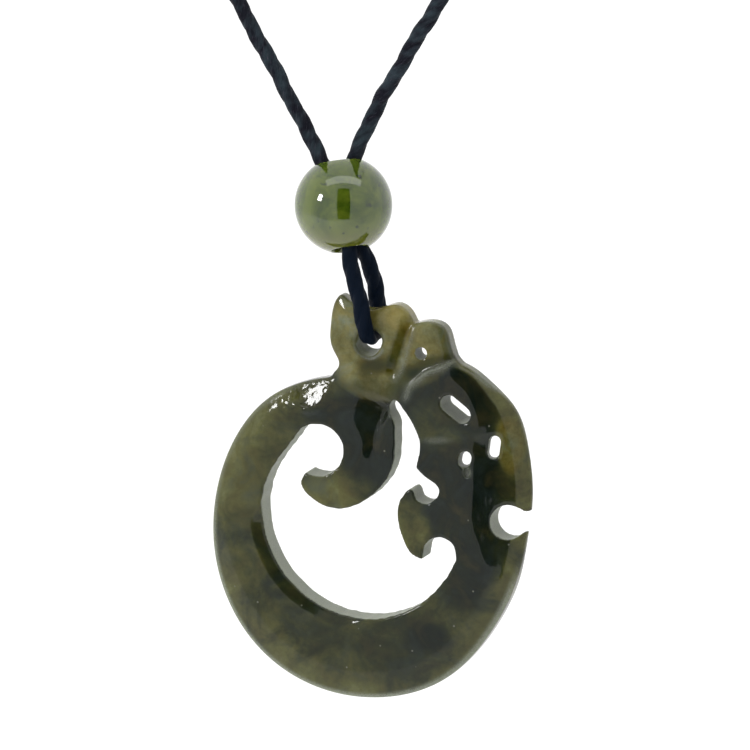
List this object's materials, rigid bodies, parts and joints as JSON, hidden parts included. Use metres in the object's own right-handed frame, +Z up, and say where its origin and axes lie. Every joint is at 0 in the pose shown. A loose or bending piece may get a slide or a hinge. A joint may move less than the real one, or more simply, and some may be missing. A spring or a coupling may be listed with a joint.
{
  "type": "jade pendant necklace",
  "caption": "Flat pierced jade carving of a ring with a curled hook and beaked head, hung under a round jade bead on a dark waxed neck cord.",
  "frame": {"origin": "the point at the back of the neck where the knot rests", "axes": "+Z up as worn, -Y the way the wearer and the carved face look, +X to the right of someone who looks at the pendant"},
  "size_m": [0.114, 0.1292, 0.1851],
  "materials": {
    "jade_carving": "polished dark olive nephrite, cloudy, slightly translucent",
    "jade_bead": "polished mid-green nephrite, cloudy, translucent",
    "cord": "dark navy twisted cord, waxed"
  },
  "bodies": {
    "strung": {"cord": "cord", "neck_cord": "cord", "bead": "jade_bead", "knot": "cord"},
    "pendant": {"pendant": "jade_carving"}
  },
  "joints": [
    {"name": "pendant_swing", "type": "hinge", "parent": "strung", "child": "pendant", "pos_m": [0.0037, -0.12, -0.1456], "axis": [0, 1, 0], "range_deg": [-15, 15]}
  ]
}
